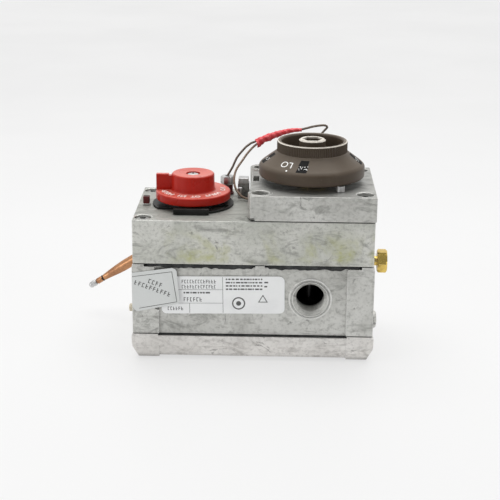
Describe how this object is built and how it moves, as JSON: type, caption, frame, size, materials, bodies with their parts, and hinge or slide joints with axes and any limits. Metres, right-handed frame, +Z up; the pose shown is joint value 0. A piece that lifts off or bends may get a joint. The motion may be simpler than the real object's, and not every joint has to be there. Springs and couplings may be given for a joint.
{
  "type": "gas valve",
  "caption": "Combination gas valve with a die-cast body, push-and-turn gas cock, thermostat dial, remote copper bulb, pressure regulator and pilot outlet.",
  "frame": {"origin": "centre of the underside of the bottom cover, on the face of its round boss", "axes": "+X to the right along the front face, +Y from the front face to the rear, +Z up from the bottom cover to the dial"},
  "size_m": [0.1945, 0.0843, 0.1327],
  "materials": {
    "cast_aluminium": "as-cast grey with faint stains",
    "cover_aluminium": "as-cast, lighter and warmer",
    "gasket_rubber": "matt black sheet",
    "red_plastic": "glossy red moulding",
    "brown_plastic": "satin grey-brown moulding",
    "black_plastic": "satin black",
    "maroon_plastic": "satin dark red",
    "cream_plastic": "satin cream",
    "steel": "zinc plated",
    "spring_steel": "drawn wire",
    "brass": "machined",
    "copper": "drawn copper tube, lightly tarnished",
    "solder": "tinned end",
    "lead_brown": "dark brown insulation",
    "sleeve_red": "red heat-shrink",
    "label_white": "printed polyester label",
    "seal_silver": "grey tamper seal"
  },
  "bodies": {
    "valve": {"lower_body": "cast_aluminium", "upper_body": "cast_aluminium", "thermostat_housing": "cast_aluminium", "side_plug": "cast_aluminium", "bottom_cover": "cover_aluminium", "regulator_cap": "cover_aluminium", "diaphragm_sheet": "gasket_rubber", "body_gasket": "gasket_rubber", "knob_index_ring": "black_plastic", "index_post": "maroon_plastic", "vent_plug": "cream_plastic", "magnet_unit": "steel", "dial_stop_post": "steel", "push_pin": "steel", "lever_pin": "steel", "thermocouple_terminal": "steel", "terminal_block": "steel", "housing_screw_1": "steel", "housing_screw_2": "steel", "housing_screw_3": "steel", "housing_screw_4": "steel", "deck_screw_1": "steel", "deck_screw_2": "steel", "cover_screw_1": "steel", "cover_screw_2": "steel", "cover_screw_3": "steel", "cover_screw_4": "steel", "cock_spring": "spring_steel", "safety_return_spring": "spring_steel", "main_valve_spring": "spring_steel", "regulator_spring": "spring_steel", "dial_bushing": "brass", "bellows": "brass", "valve_seat": "brass", "pilot_fitting": "brass", "pilot_nut": "brass", "sensing_bulb": "copper", "capillary_tube": "copper", "bulb_tip": "solder", "lead_a": "lead_brown", "lead_b": "lead_brown", "rear_lead": "lead_brown", "lead_sleeve": "sleeve_red", "rating_label": "label_white", "seal_label": "seal_silver"},
    "cock": {"cock_plug": "brass", "reset_spring": "spring_steel"},
    "knob": {"gas_knob": "red_plastic", "knob_screw": "steel", "reset_stem": "steel"},
    "safety_valve": {"safety_valve_disc": "gasket_rubber", "armature": "steel"},
    "dial": {"thermostat_dial": "brown_plastic", "adjusting_screw": "steel"},
    "element": {"element_carrier": "brass"},
    "lever": {"snap_lever": "steel"},
    "main_valve": {"main_valve_disc": "gasket_rubber"},
    "regulator": {"regulator_plate": "steel"},
    "regulator_screw": {"regulator_adjusting_screw": "brass"}
  },
  "joints": [
    {"name": "gas_cock_turn", "type": "hinge", "parent": "valve", "child": "cock", "pos_m": [-0.0382, 0, 0.088], "axis": [0, 0, 1], "range_deg": [0, 180]},
    {"name": "reset_press", "type": "slide", "parent": "cock", "child": "knob", "axis": [0, 0, -1], "range_m": [0, 0.0025], "stiffness_N_per_m": 600, "springref_m": -0.004, "deforming": ["reset_spring"]},
    {"name": "safety_valve_travel", "type": "slide", "parent": "valve", "child": "safety_valve", "axis": [0, 0, -1], "range_m": [0, 0.0025], "stiffness_N_per_m": 150, "springref_m": -0.004, "deforming": ["safety_return_spring"]},
    {"name": "thermostat_dial_turn", "type": "hinge", "parent": "valve", "child": "dial", "pos_m": [0.0347, 0, 0.1036], "axis": [0, 0, 1], "range_deg": [0, 270]},
    {"name": "element_travel", "type": "slide", "parent": "valve", "child": "element", "axis": [0, 0, -1], "range_m": [0, 0.00076], "stiffness_N_per_m": 0.5, "springref_m": -0.0528},
    {"name": "snap_lever_swing", "type": "hinge", "parent": "valve", "child": "lever", "pos_m": [0.019, 0, 0.077], "axis": [0, 1, 0], "range_deg": [0, 5.4], "stiffness_Nm_per_rad": 0.3, "springref_deg": -5.73},
    {"name": "main_valve_travel", "type": "slide", "parent": "valve", "child": "main_valve", "axis": [0, 0, -1], "range_m": [0, 0.0015], "stiffness_N_per_m": 0.2, "springref_m": -0.0545, "deforming": ["main_valve_spring"]},
    {"name": "regulator_travel", "type": "slide", "parent": "valve", "child": "regulator", "axis": [0, 0, 1], "range_m": [-0.001, 0.001], "stiffness_N_per_m": 400, "springref_m": 0.0003, "deforming": ["regulator_spring"]},
    {"name": "regulator_adjust_turn", "type": "hinge", "parent": "valve", "child": "regulator_screw", "pos_m": [0.0347, 0, 0.0047], "axis": [0, 0, -1], "range_deg": [-360, 360]}
  ],
  "couplings": [
    {"joint": "safety_valve_travel", "follows": "reset_press", "ratio": 1},
    {"joint": "element_travel", "follows": "thermostat_dial_turn", "m_per_rad": 0.000159},
    {"joint": "main_valve_travel", "follows": "snap_lever_swing", "m_per_rad": 0.0159}
  ]
}
